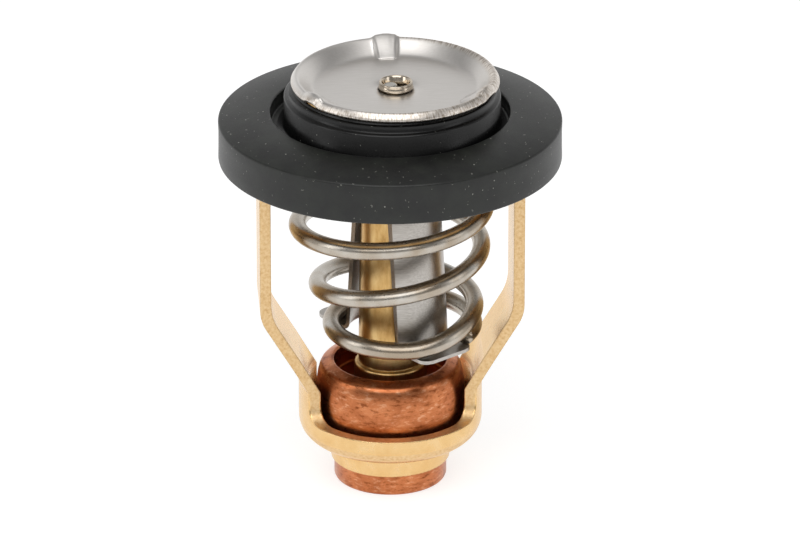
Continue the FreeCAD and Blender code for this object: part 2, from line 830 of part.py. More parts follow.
def climb(turn):
    """How far the wire has climbed after some turns, by a smooth curve through the stations."""
    index = 0
    while index < len(COIL_STATIONS) - 2 and turn > COIL_STATIONS[index + 1][0]:
        index += 1
    (start, low), (end, high) = COIL_STATIONS[index:index + 2]
    span = end - start
    part = (turn - start) / span
    leaving = station_slope(index) * span
    arriving = station_slope(index + 1) * span
    change = high - low
    return low + part * (leaving + part * (3 * change - 2 * leaving - arriving
                                           + part * (leaving + arriving - 2 * change)))


def spring_path():
    """Points up the wire's centre line, from its lower end to its end under the flange."""
    top = (s.flange_underside - s.wire_radius - s.fit_gap).value
    bottom = (s.foot_top + s.wire_radius + s.fit_gap).value
    turns = COIL_STATIONS[-1][0]
    narrow_turns = s.coil_narrow_to.value - s.coil_narrow_from.value
    count = round(turns * SPRING_POINTS_PER_TURN)
    path = []
    for step in range(count + 1):
        turn = turns * step / count
        narrowing = min(1.0, max(0.0, (s.coil_narrow_to.value - turn) / narrow_turns))
        radius = coil_radius_top.value + (s.coil_radius_bottom - coil_radius_top).value * narrowing
        azimuth = math.radians(s.coil_end_angle.value + 360.0 * turn)
        across = s.coil_shift.value * narrowing + radius * math.cos(azimuth)
        path.append(Vector(across, radius * math.sin(azimuth), bottom + (top - bottom) * climb(turn)))
    return path


def make_spring():
    curve = Part.BSplineCurve()
    curve.interpolate(spring_path())
    wire_circle = Part.Circle(curve.StartPoint, curve.tangent(curve.FirstParameter)[0], s.wire_radius.value)
    sweep = Part.Wire([curve.toShape()]).makePipeShell([Part.Wire([wire_circle.toShape()])], True, True)
    expected = math.pi * s.wire_radius.value ** 2 * curve.length()
    print(f"spring wire volume {sweep.Volume:.1f}, section times length {expected:.1f}")
    spring = doc.addObject("Part::Feature", "conical_spring")
    spring.Label = "conical_spring"
    spring.Shape = sweep
    return spring


pieces = [make_capsule(), make_wax(), make_diaphragm(), make_guide()]
pieces += make_bore_pieces()
pieces += [make_piston(), make_yoke(), make_flange(), make_gasket(), make_seat()]
pieces += [make_disc(), make_rivet(), make_bracket(), make_spring()]

doc.recompute()

# Every object has to be sound before anything is written
for item in doc.Objects:
    for state in ("Invalid", "Error"):
        if state in item.State:
            raise RuntimeError(f"{item.Name} is {state}: {item.State}")
for piece in pieces:
    shape = piece.Shape
    if shape.isNull() or not shape.isValid() or not shape.Solids:
        raise RuntimeError(f"{piece.Label} has no sound solid")

os.makedirs("parts", exist_ok=True)
for piece in pieces:
    piece.Shape.exportStep(f"parts/{piece.Label}.step")
    box = piece.Shape.BoundBox
    print(f"{piece.Label:20s} solids {len(piece.Shape.Solids)} volume {piece.Shape.Volume:9.2f}",
          f"z {box.ZMin:6.2f} to {box.ZMax:6.2f} x {box.XMin:6.2f} to {box.XMax:6.2f}")
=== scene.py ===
# %% [markdown]
# Dressing an engine thermostat
#
# The real object is a small valve unit: a wax capsule in a brass yoke pushes a stainless disc off a
# rubber seat when the coolant gets hot. The solids come from the CAD frame, in metres, and stay where
# they are. This lesson gives them their surfaces, and models again those pieces whose shape the eye
# reads most closely: the capsule, the disc, its rivet, the gasket and the seat ring. The bracket and the
# spring are changed copies of their solids.

# %% Load the frame
import math

import bmesh
import bpy
from mathutils import Matrix, Vector


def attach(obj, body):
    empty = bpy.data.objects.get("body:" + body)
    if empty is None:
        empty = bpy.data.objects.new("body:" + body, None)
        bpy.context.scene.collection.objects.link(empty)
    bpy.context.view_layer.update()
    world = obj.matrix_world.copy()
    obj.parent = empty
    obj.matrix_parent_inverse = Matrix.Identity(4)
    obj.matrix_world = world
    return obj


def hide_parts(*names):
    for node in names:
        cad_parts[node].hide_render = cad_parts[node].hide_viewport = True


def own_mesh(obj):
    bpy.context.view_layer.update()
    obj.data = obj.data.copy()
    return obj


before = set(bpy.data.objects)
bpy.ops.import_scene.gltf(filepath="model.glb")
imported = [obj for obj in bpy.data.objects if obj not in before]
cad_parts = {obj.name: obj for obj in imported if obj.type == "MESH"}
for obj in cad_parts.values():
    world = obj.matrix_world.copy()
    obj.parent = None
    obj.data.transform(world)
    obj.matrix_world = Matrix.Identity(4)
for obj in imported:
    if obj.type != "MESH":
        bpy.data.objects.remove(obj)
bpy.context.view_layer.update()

print("nodes:", ", ".join(sorted(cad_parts)))

# %% [markdown]
# Sizes are easier to think about in millimetres, so one constant turns them into the scene's metres.
# Colours are written as sRGB hex, the way a colour picker shows them, and turned linear by one function.
# Materials are built from nodes, and one small function adds a node with its settings and its links. Their
# patterns read the place in millimetres, so a noise scale of 2 gives features about half a millimetre wide.
# In the render a pixel covers 0.14 mm, and a pattern finer than that only softens the shine.

# %% Units, colour and the node helper
MM = 0.001


def colour(hex_code):
    """An sRGB hex colour as linear red, green, blue and alpha."""
    channels = [int(hex_code[i:i + 2], 16) / 255 for i in (1, 3, 5)]
    return [c / 12.92 if c <= 0.04045 else ((c + 0.055) / 1.055) ** 2.4 for c in channels] + [1.0]


def add(tree, kind, inputs=None, **settings):
    """Adds a shader node. An input is given a value, or another node's output, which is then linked."""
    node = tree.nodes.new(f"ShaderNode{kind}")
    for name, value in settings.items():
        setattr(node, name, value)
    for name, value in (inputs or {}).items():
        if isinstance(value, bpy.types.NodeSocket):
            tree.links.new(value, node.inputs[name])
        else:
            node.inputs[name].default_value = value
    return node


def ramp(node, stops):
    """Sets a Color Ramp's stops from a list of (position, hex colour or grey level)."""
    elements = node.color_ramp.elements
    while len(elements) > len(stops):
        elements.remove(elements[-1])
    while len(elements) < len(stops):
        elements.new(1.0)
    for element, (position, shade) in zip(elements, stops):
        element.position = position
        element.color = colour(shade) if isinstance(shade, str) else [shade] * 3 + [1.0]
    return node.outputs["Color"]


def surface(name, **sockets):
    """A new material with a Principled shader. Returns its node tree, its shader and the place in mm."""
    material = bpy.data.materials.new(name)
    material.use_nodes = True
    tree = material.node_tree
    shader = tree.nodes["Principled BSDF"]
    for socket, value in sockets.items():
        shader.inputs[socket.replace("_", " ")].default_value = value
    place = add(tree, "TexCoord").outputs["Object"]
    in_mm = add(tree, "VectorMath", {0: place, "Scale": 1 / MM}, operation="SCALE")
    print("material:", name)
    return tree, shader, in_mm.outputs["Vector"]


def wire_up(tree, shader, **outputs):
    """Links outputs of the tree to the shader's sockets."""
    for socket, output in outputs.items():
        tree.links.new(output, shader.inputs[socket.replace("_", " ")])


def axis_distance(tree, mm):
    """The distance from the valve's axis, in mm."""
    level_place = add(tree, "VectorMath", {0: mm, 1: (1, 1, 0)}, operation="MULTIPLY").outputs["Vector"]
    return add(tree, "VectorMath", {0: level_place}, operation="LENGTH").outputs["Value"]


def paint(node_name, material_name):
    """Gives a CAD node the finished material, in every slot that it has."""
    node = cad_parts[node_name]
    material = bpy.data.materials[material_name]
    for slot in node.material_slots:
        slot.material = material
    print(f"{node_name}: {material_name}")


# %% [markdown]
# The camera stands where the photographer stood: 24 degrees up, a little over a metre away, with a long
# lens. The image is 800 pixels wide, and the lens follows from the focal length in pixels.

# %% Camera
IMAGE_WIDTH = 800
SENSOR_WIDTH = 36.0
FOCAL_PIXELS = 7903
ELEVATION = math.radians(24.0)
CAMERA_DISTANCE = 1.110
TARGET = Vector((1.37, 0, 31.9)) * MM

camera_data = bpy.data.cameras.new("camera")
camera_data.sensor_width = SENSOR_WIDTH
camera_data.lens = FOCAL_PIXELS * SENSOR_WIDTH / IMAGE_WIDTH
camera_data.clip_start = 0.01
camera = bpy.data.objects.new("camera", camera_data)
bpy.context.collection.objects.link(camera)
outwards = Vector((0, -math.cos(ELEVATION), math.sin(ELEVATION)))
looking = (-outwards).to_track_quat("-Z", "Y").to_matrix().to_4x4()
camera.matrix_world = Matrix.Translation(TARGET + outwards * CAMERA_DISTANCE) @ looking
bpy.context.scene.camera = camera
print("lens", round(camera_data.lens, 1), "mm")

# %% [markdown]
# The photo is a cut-out on white, with a faint grey pool of shadow at the foot. The floor is a plain
# sheet of white card. What the camera, mirrors and glass see of it is brightened, so that it reads as
# white, while the shadow that falls on it stays.

# %% Floor
FLOOR_SIZE = 6.0
FLOOR_GLOW = 0.72


def clear_selection():
    """Leaves nothing selected, because an operator acts on everything that is."""
    bpy.ops.object.select_all(action="DESELECT")


clear_selection()
bpy.ops.mesh.primitive_plane_add(size=FLOOR_SIZE, location=(0, 0, 0))
floor = bpy.context.object
floor.name = "floor"
tree, shader, _ = surface("white_card", Base_Color=colour("#b4b4b4"), Roughness=0.9)
seen = add(tree, "LightPath").outputs
seen_or_mirrored = add(tree, "Math", {0: seen["Is Camera Ray"], 1: seen["Is Glossy Ray"]},
                       operation="MAXIMUM")
seen_at_all = add(tree, "Math", {0: seen_or_mirrored.outputs[0], 1: seen["Is Transmission Ray"]},
                  operation="MAXIMUM")
glow_level = add(tree, "Math", {0: seen_at_all.outputs[0], 1: FLOOR_GLOW}, operation="MULTIPLY")
glow = add(tree, "Emission", {"Color": (1, 1, 1, 1), "Strength": glow_level.outputs[0]})
both = add(tree, "AddShader", {0: shader.outputs["BSDF"], 1: glow.outputs["Emission"]})
tree.links.new(both.outputs["Shader"], tree.nodes["Material Output"].inputs["Surface"])
floor.data.materials.append(bpy.data.materials["white_card"])

# %% [markdown]
# Small metal parts are photographed in a white tent: a pale sweep behind and under them, a big soft box
# overhead, and the dim room where the camera looks in. Metal shows all of it. The sky of this world
# follows that plan: pale low down at the back, a darker band above it, dim around the photographer and
# an even grey overhead.

# %% World and lights
OVERHEAD = 0.42

world = bpy.data.worlds.new("studio")
bpy.context.scene.world = world
world.use_nodes = True
tree = world.node_tree
tree.nodes.clear()
direction = add(tree, "TexCoord").outputs["Generated"]
towards = add(tree, "SeparateXYZ", {"Vector": direction}).outputs
back_share = add(tree, "MapRange", {"Value": towards["Y"], "From Min": -1.0}).outputs["Result"]
walls = ramp(add(tree, "ValToRGB", {"Fac": back_share}),
             [(0.0, 0.24), (0.3, 0.26), (0.55, 0.5), (0.8, 0.85), (1.0, 0.92)])
band = ramp(add(tree, "ValToRGB", {"Fac": towards["Z"]}),
            [(0.0, 1.0), (0.42, 0.95), (0.6, 0.36), (0.72, 0.3), (0.84, 0.8)])
banded = add(tree, "Mix", {0: 1.0, 6: walls, 7: band}, data_type="RGBA", blend_type="MULTIPLY").outputs[2]
overhead = add(tree, "MapRange", {"Value": towards["Z"], "From Min": 0.72, "From Max": 0.9}).outputs["Result"]
studio = add(tree, "Mix", {0: overhead, 6: banded, 7: [OVERHEAD] * 3 + [1.0]}, data_type="RGBA").outputs[2]
rays = add(tree, "LightPath").outputs
room = add(tree, "Background", {"Color": studio, "Strength": 1.0})
white = add(tree, "Background", {"Color": (1, 1, 1, 1), "Strength": 1.0})
shown = add(tree, "MixShader", {0: rays["Is Camera Ray"], 1: room.outputs[0], 2: white.outputs[0]})
add(tree, "OutputWorld", {"Surface": shown.outputs[0]})


def soft_box(name, place, aim, width, height, power):
    """A rectangular area light at a place, turned to face another."""
    lamp = bpy.data.lights.new(name, "AREA")
    lamp.shape = "RECTANGLE"
    lamp.size, lamp.size_y = width, height
    lamp.energy = power
    obj = bpy.data.objects.new(name, lamp)
    bpy.context.collection.objects.link(obj)
    turn = (Vector(aim) - Vector(place)).to_track_quat("-Z", "Y").to_matrix().to_4x4()
    obj.matrix_world = Matrix.Translation(Vector(place)) @ turn
    print(f"{name}: {power} W")


AIM = (0, 0, 0.035)
soft_box("box_top", (-0.07, -0.51, 0.617), AIM, 0.85, 0.63, 3.4)
soft_box("box_over", (0, -0.12, 0.82), AIM, 0.7, 0.42, 0.6)
soft_box("box_left", (-0.85, -0.25, 0.40), AIM, 0.35, 0.6, 1.2)
soft_box("box_right", (0.85, -0.30, 0.40), AIM, 0.35, 0.6, 0.8)

# %% [markdown]
# Brass sheet, pressed and bent. Rolling leaves the broad faces pale and satin, with clouds about 3 mm wide
# and fine upright scratches. The cut edges were sheared, so they are rougher and grainy, from brown to pale.
# Their grit is drawn 0.4 mm wide, three pixels, because a much finer one would not show. The mask for the
# cut edges comes from the way a surface faces: on the legs an edge faces sideways, on the cup's rim it
# faces up. On the cup's wall it comes from the distance to the axis instead: what lies between the sheet's
# inner and outer face is an edge.

# %% Yoke brass
LEG_YAW = math.radians(3.6)
CUP_FACE_TOP = 15.1
CUP_WALL_MIDDLE = 12.17
CUT_HALF_WIDTH = 0.52
CUP_WALL_FOOT = 7.2
CUP_RIM_FOOT = 9.5
LEG_ROOT = 15.6
EDGE_ROUND = 0.3

tree, shader, mm = surface("pressed_brass_sheet", Metallic=1.0)
facing = add(tree, "TexCoord").outputs["Normal"]
across_leg = (-math.sin(LEG_YAW), math.cos(LEG_YAW), 0)
sideways = add(tree, "VectorMath", {0: facing, 1: across_leg}, operation="DOT_PRODUCT").outputs["Value"]
either_side = add(tree, "Math", {0: sideways}, operation="ABSOLUTE").outputs[0]
edge_side = add(tree, "MapRange", {"Value": either_side, "From Min": 0.9, "From Max": 0.98})
level = add(tree, "SeparateXYZ", {"Vector": mm}).outputs["Z"]
above_cup = add(tree, "MapRange", {"Value": level, "From Min": CUP_FACE_TOP - 1.5, "From Max": CUP_FACE_TOP})
leg_edge = add(tree, "Math", {0: edge_side.outputs["Result"], 1: above_cup.outputs["Result"]},
               operation="MULTIPLY").outputs[0]
up = add(tree, "SeparateXYZ", {"Vector": facing}).outputs["Z"]
rim_up = add(tree, "MapRange", {"Value": up, "From Min": 0.55, "From Max": 0.85}).outputs["Result"]
rim_band = add(tree, "MapRange", {"Value": level, "From Min": CUP_RIM_FOOT, "From Max": CUP_RIM_FOOT + 0.7})
rim_edge = add(tree, "Math", {0: rim_up, 1: rim_band.outputs["Result"]}, operation="MULTIPLY").outputs[0]
depth = add(tree, "Math", {0: axis_distance(tree, mm), 1: CUP_WALL_MIDDLE}, operation="SUBTRACT").outputs[0]
off_middle = add(tree, "Math", {0: depth}, operation="ABSOLUTE").outputs[0]
in_wall = add(tree, "MapRange", {"Value": off_middle, "From Min": CUT_HALF_WIDTH + 0.1,
                                 "From Max": CUT_HALF_WIDTH}).outputs["Result"]
below_legs = add(tree, "MapRange", {"Value": level, "From Min": LEG_ROOT + 0.6, "From Max": LEG_ROOT})
above_floor = add(tree, "MapRange", {"Value": level, "From Min": CUP_WALL_FOOT,
                                     "From Max": CUP_WALL_FOOT + 0.5})
wall_band = add(tree, "Math", {0: below_legs.outputs["Result"], 1: above_floor.outputs["Result"]},
                operation="MULTIPLY").outputs[0]
wall_edge = add(tree, "Math", {0: in_wall, 1: wall_band}, operation="MULTIPLY").outputs[0]
flat_edges = add(tree, "Math", {0: leg_edge, 1: rim_edge}, operation="MAXIMUM").outputs[0]
cut = add(tree, "Math", {0: flat_edges, 1: wall_edge}, operation="MAXIMUM").outputs[0]
cloud = add(tree, "TexNoise", {"Vector": mm, "Scale": 0.35, "Detail": 4.0, "Roughness": 0.6}).outputs["Fac"]
face_colour = ramp(add(tree, "ValToRGB", {"Fac": cloud}),
                   [(0.3, "#e3b97d"), (0.5, "#e9c389"), (0.72, "#efcd99")])
grit = add(tree, "TexNoise", {"Vector": mm, "Scale": 2.4, "Detail": 4.0, "Roughness": 0.6}).outputs["Fac"]
cut_colour = ramp(add(tree, "ValToRGB", {"Fac": grit}),
                  [(0.2, "#c0935c"), (0.4, "#e0bc88"), (0.62, "#ecce9f")])
body_colour = add(tree, "Mix", {0: cut, 6: face_colour, 7: cut_colour}, data_type="RGBA").outputs[2]
face_rough = add(tree, "MapRange", {"Value": cloud, "To Min": 0.18, "To Max": 0.34}).outputs["Result"]
rough = add(tree, "Mix", {0: cut, 2: face_rough, 3: 0.5}, data_type="FLOAT").outputs[0]
along = add(tree, "Mapping", {"Vector": mm, "Scale": (6.0, 6.0, 0.35)}).outputs["Vector"]
draw_marks = add(tree, "TexNoise", {"Vector": along, "Scale": 2.2, "Detail": 3.0}).outputs["Fac"]
relief = add(tree, "Mix", {0: cut, 2: draw_marks, 3: grit}, data_type="FLOAT").outputs[0]
round_edge = add(tree, "Bevel", {"Radius": EDGE_ROUND * MM}, samples=6).outputs["Normal"]
bump = add(tree, "Bump", {"Height": relief, "Strength": 0.18, "Distance": 0.05 * MM, "Normal": round_edge})
wire_up(tree, shader, Base_Color=body_colour, Roughness=rough, Normal=bump.outputs["Normal"])
for piece in ("brass_yoke", "brass_flange"):
    paint(piece, "pressed_brass_sheet")

# %% [markdown]
# The guide is turned from brass bar, so its fine marks run round it, 0.1 mm apart. Warm brown streaks run
# down the stem, as if hot coolant had run and dried there. They are about 2 mm wide and 5 mm long. In the
# recess round the guide's boss, in the capsule's mouth, shade is painted into the brass, dark copper brown.

# %% Guide brass
BOSS_EDGE = 5.0

tree, shader, mm = surface("turned_brass_bar", Metallic=1.0)
streak_place = add(tree, "Mapping", {"Vector": mm, "Scale": (0.6, 0.6, 0.22)}).outputs["Vector"]
streaks = add(tree, "TexNoise", {"Vector": streak_place, "Scale": 1.0, "Detail": 6.0,
                                 "Roughness": 0.66}).outputs["Fac"]
stem_colour = ramp(add(tree, "ValToRGB", {"Fac": streaks}),
                   [(0.3, "#a87d45"), (0.45, "#cba468"), (0.6, "#dcba80")])
rings = add(tree, "Mapping", {"Vector": mm, "Scale": (0.25, 0.25, 7.0)}).outputs["Vector"]
tool_marks = add(tree, "TexNoise", {"Vector": rings, "Scale": 1.6, "Detail": 2.0}).outputs["Fac"]
stem_rough = add(tree, "MapRange", {"Value": streaks, "To Min": 0.42, "To Max": 0.24}).outputs["Result"]
bump = add(tree, "Bump", {"Height": tool_marks, "Strength": 0.18, "Distance": 0.04 * MM})
# Painted shade: the brass in the recess round the boss is darkened to copper brown.
in_mouth = add(tree, "MapRange", {"Value": axis_distance(tree, mm), "From Min": BOSS_EDGE,
                                  "From Max": BOSS_EDGE + 0.8})
stem_with_recess_shade = add(tree, "Mix", {0: in_mouth.outputs["Result"], 6: stem_colour, 7: colour("#a4572a")},
              data_type="RGBA").outputs[2]
wire_up(tree, shader, Base_Color=stem_with_recess_shade, Roughness=stem_rough, Normal=bump.outputs["Normal"])
paint("brass_guide_stem", "turned_brass_bar")

# %% [markdown]
# The capsule is drawn copper, tumbled and then handled: a skin with a mottle about 4 mm wide, pale scuffs
# 2 mm long where it was rubbed, darker brown where it has tarnished, and pits 0.4 mm wide.

# %% Capsule copper
tree, shader, mm = surface("worn_drawn_copper", Metallic=1.0)
mottle = add(tree, "TexNoise", {"Vector": mm, "Scale": 0.28, "Detail": 7.0, "Roughness": 0.68,
                                "Distortion": 0.4}).outputs["Fac"]
skin = ramp(add(tree, "ValToRGB", {"Fac": mottle}),
            [(0.3, "#a05a34"), (0.45, "#bb7047"), (0.58, "#c97c50"), (0.72, "#d78f63")])
smear_place = add(tree, "Mapping", {"Vector": mm, "Rotation": (0.1, 0.2, 0.2),
                                    "Scale": (0.5, 0.5, 1.5)}).outputs["Vector"]
smears = add(tree, "TexNoise", {"Vector": smear_place, "Scale": 1.2, "Detail": 6.0,
                                "Roughness": 0.7}).outputs["Fac"]
smear_mask = add(tree, "MapRange", {"Value": smears, "From Min": 0.54, "From Max": 0.74}).outputs["Result"]
worn = add(tree, "Mix", {0: smear_mask, 6: skin, 7: colour("#efb890")}, data_type="RGBA").outputs[2]
tarnish = add(tree, "MapRange", {"Value": smears, "From Min": 0.36, "From Max": 0.46,
                                 "To Min": 0.8, "To Max": 0.0}).outputs["Result"]
aged = add(tree, "Mix", {0: tarnish, 6: worn, 7: colour("#7d3f1f")}, data_type="RGBA").outputs[2]
copper_rough = add(tree, "MapRange", {"Value": mottle, "From Min": 0.3, "From Max": 0.7,
                                      "To Min": 0.36, "To Max": 0.26}).outputs["Result"]
pits = add(tree, "TexNoise", {"Vector": mm, "Scale": 2.6, "Detail": 4.0, "Roughness": 0.7}).outputs["Fac"]
bump = add(tree, "Bump", {"Height": pits, "Strength": 0.2, "Distance": 0.05 * MM})
wire_up(tree, shader, Base_Color=aged, Roughness=copper_rough, Normal=bump.outputs["Normal"])

# %% [markdown]
# The spring is drawn stainless wire. Drawing leaves it satin and slightly uneven, and a breath of straw
# brown lies on it in patches about 5 mm long.

# %% Spring wire
tree, shader, mm = surface("drawn_stainless_wire", Metallic=1.0)
tint = add(tree, "TexNoise", {"Vector": mm, "Scale": 0.22, "Detail": 3.0}).outputs["Fac"]
wire_colour = ramp(add(tree, "ValToRGB", {"Fac": tint}),
                   [(0.35, "#aa9c8a"), (0.55, "#bcb4a8"), (0.7, "#c8c3bb")])
fine = add(tree, "TexNoise", {"Vector": mm, "Scale": 2.2, "Detail": 4.0}).outputs["Fac"]
wire_rough = add(tree, "MapRange", {"Value": fine, "To Min": 0.24, "To Max": 0.33}).outputs["Result"]
bump = add(tree, "Bump", {"Height": fine, "Strength": 0.06, "Distance": 0.03 * MM})
wire_up(tree, shader, Base_Color=wire_colour, Roughness=wire_rough, Normal=bump.outputs["Normal"])

# %% [markdown]
# Bracket and disc are cold-rolled stainless sheet with a 2B mill finish: pale grey, satin, with a grain
# 0.15 mm wide along the rolling direction. Where the die drew the disc's rim down, it left short bright
# marks that run down the skirt, a quarter of a millimetre wide. They are drawn in turned coordinates, the
# angle round the axis as millimetres along the rim, and stretched about three times up and down.

# %% Stainless sheet
RIM_RADIUS = 14.0
CREST_RADIUS = 13.5
MARKS_ABOVE = 59.4

tree, shader, mm = surface("rolled_stainless_sheet", Metallic=1.0)
grain_place = add(tree, "Mapping", {"Vector": mm, "Scale": (0.25, 3.0, 3.0)}).outputs["Vector"]
grain = add(tree, "TexNoise", {"Vector": grain_place, "Scale": 2.2, "Detail": 3.0}).outputs["Fac"]
part = add(tree, "SeparateXYZ", {"Vector": mm}).outputs
turned = add(tree, "Math", {0: part["Y"], 1: part["X"]}, operation="ARCTAN2").outputs[0]
along_rim = add(tree, "Math", {0: turned, 1: RIM_RADIUS}, operation="MULTIPLY").outputs[0]
down_rim = add(tree, "Math", {0: part["Z"], 1: 0.35}, operation="MULTIPLY").outputs[0]
rim_place = add(tree, "CombineXYZ", {"X": along_rim, "Y": down_rim}).outputs["Vector"]
marks = add(tree, "TexNoise", {"Vector": rim_place, "Scale": 4.2, "Detail": 2.0}).outputs["Fac"]
high = add(tree, "Math", {0: part["Z"], 1: MARKS_ABOVE}, operation="GREATER_THAN").outputs[0]
outside = add(tree, "MapRange", {"Value": axis_distance(tree, mm), "From Min": CREST_RADIUS,
                                 "From Max": CREST_RADIUS + 0.5})
on_skirt = add(tree, "Math", {0: outside.outputs["Result"], 1: high}, operation="MULTIPLY").outputs[0]
sheet_colour = ramp(add(tree, "ValToRGB", {"Fac": grain}), [(0.3, "#dcd8d3"), (0.7, "#e4e0dc")])
mark_colour = ramp(add(tree, "ValToRGB", {"Fac": marks}),
                   [(0.34, "#b5a899"), (0.5, "#d6cec5"), (0.66, "#efe8e0")])
steel_colour = add(tree, "Mix", {0: on_skirt, 6: sheet_colour, 7: mark_colour}, data_type="RGBA").outputs[2]
sheet_rough = add(tree, "MapRange", {"Value": grain, "To Min": 0.3, "To Max": 0.38}).outputs["Result"]
relief = add(tree, "Mix", {0: on_skirt, 2: grain, 3: marks}, data_type="FLOAT").outputs[0]
bump = add(tree, "Bump", {"Height": relief, "Strength": 0.12, "Distance": 0.03 * MM})
wire_up(tree, shader, Base_Color=steel_colour, Roughness=sheet_rough, Normal=bump.outputs["Normal"])

# %% [markdown]
# Turned shapes can be built from one ring of edges. The ring is extruded and scaled from corner to corner
# of the piece's outline, as a potter draws up a wall. One helper does this for all turned pieces. Another
# selects points by where they lie, so that a transform moves only those.

# %% Modelling helpers
def turn_up(name, outline, segments):
    """A surface of rings: an edge loop carried along an outline of (radius, height) in mm.

    The piece stays in edit mode.
    """
    clear_selection()
    radius, height = outline[0]
    bpy.ops.mesh.primitive_circle_add(vertices=segments, radius=radius * MM, location=(0, 0, height * MM))
    piece = bpy.context.object
    piece.name = piece.data.name = name
    bpy.ops.object.transform_apply(location=True, rotation=True, scale=True)
    bpy.ops.object.mode_set(mode="EDIT")
    bpy.ops.mesh.select_all(action="SELECT")
    for next_radius, next_height in outline[1:]:
        rise = (0, 0, (next_height - height) * MM)
        bpy.ops.mesh.extrude_region_move(TRANSFORM_OT_translate={"value": rise})
        share = next_radius / radius
        bpy.ops.transform.resize(value=(share, share, 1), center_override=(0, 0, 0))
        radius, height = next_radius, next_height
    return piece


def select_points(piece, wanted):
    """In edit mode, selects the vertices whose place in mm passes the test, and says how many."""
    edit_mesh = bmesh.from_edit_mesh(piece.data)
    edit_mesh.select_mode = {"VERT"}
    for vertex in edit_mesh.verts:
        vertex.select_set(wanted(vertex.co / MM))
    edit_mesh.select_flush(True)
    bmesh.update_edit_mesh(piece.data)
    return sum(vertex.select for vertex in edit_mesh.verts)


def weld(piece):
    """Joins doubled points, turns all faces outwards and leaves edit mode."""
    bpy.ops.mesh.select_all(action="SELECT")
    bpy.ops.mesh.remove_doubles(threshold=0.002 * MM)
    bpy.ops.mesh.normals_make_consistent(inside=False)
    bpy.ops.object.mode_set(mode="OBJECT")
    print(f"{piece.name}: {len(piece.data.polygons)} faces before its modifiers")


def apply_modifier(piece, kind, **settings):
    """Adds a modifier, sets it and applies it."""
    modifier = piece.modifiers.new(kind.lower(), kind)
    for name, value in settings.items():
        setattr(modifier, name, value)
    bpy.context.view_layer.objects.active = piece
    bpy.ops.object.modifier_apply(modifier=modifier.name)


def smooth(piece, degrees=None):
    """Shades the piece smooth, all over or only where its faces meet at less than an angle."""
    clear_selection()
    piece.select_set(True)
    bpy.context.view_layer.objects.active = piece
    if degrees:
        bpy.ops.object.shade_smooth_by_angle(angle=math.radians(degrees))
    else:
        bpy.ops.object.shade_smooth()


def set_over(distance):
    """In edit mode, moves the whole piece along X, by a distance in mm."""
    bpy.ops.mesh.select_all(action="SELECT")
    bpy.ops.transform.translate(value=(distance * MM, 0, 0))


def place_piece(piece, material_name, node, body):
    """Gives a finished piece its material and its body, and hides the CAD node it stands for."""
    piece.data.materials.clear()
    piece.data.materials.append(bpy.data.materials[material_name])
    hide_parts(node)
    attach(piece, body)
    print(f"{piece.name}: {len(piece.data.polygons)} faces, {material_name}, rides on {body}")


# %% [markdown]
# The capsule was drawn from copper and rolled over at its mouth. The roll leaves a tight corner at the top
# and a long, nearly upright shoulder below it, which the outline follows. The two open ends of the surface,
# under the stub and on the inside, are closed with a face.

# %% Copper capsule
CENTRE_RING = 0.3
INNER_FLOOR = 0.9

capsule = turn_up("drawn_copper_capsule", [
    (CENTRE_RING, 0), (4.0, 0), (7.5, 0), (7.82, 0.11), (7.95, 0.42), (7.95, 4.0), (7.95, 7.76), (9.0, 7.78),
    (9.9, 8.1), (10.4, 8.7), (10.55, 9.5), (10.55, 12.0), (10.46, 14.2), (10.24, 15.8), (9.98, 16.8),
    (9.8, 17.16), (9.6, 17.38), (9.3, 17.52), (8.8, 17.76), (8.36, 17.94), (8.12, 17.96), (7.98, 17.86),
    (7.94, 17.6), (7.94, 16.52), (9.73, 16.5), (9.73, 11.0), (7.05, 11.0), (7.05, INNER_FLOOR),
    (CENTRE_RING, INNER_FLOOR)], 192)
for end_height in (0.0, INNER_FLOOR):
    select_points(capsule, lambda at: math.hypot(at.x, at.y) < CENTRE_RING + 0.1
                  and abs(at.z - end_height) < 0.1)
    bpy.ops.mesh.edge_face_add()
weld(capsule)
smooth(capsule, 50)
place_piece(capsule, "worn_drawn_copper", "wax_capsule_shell", "frame")

# %% [markdown]
# The disc was stamped from one sheet: a flat floor, a wall that rises to a crest, and a skirt folded down
# outside it. Three ribs were pressed across the rim to stiffen it. The surface is built as rings, the ribs
# are lifted out of it point by point, and Solidify then gives the sheet its 0.7 mm. In the photo the disc
# sits a little to the right of the axis, so the finished rings are set over.

# %% Valve disc
DISC_FLOOR = 59.15
DISC_OFFSET = 0.7
RIB_ANGLES = [math.radians(96.0 + 120 * turn) for turn in range(3)]
RIB_HALF = 1.5
DISC_SHEET = 0.68

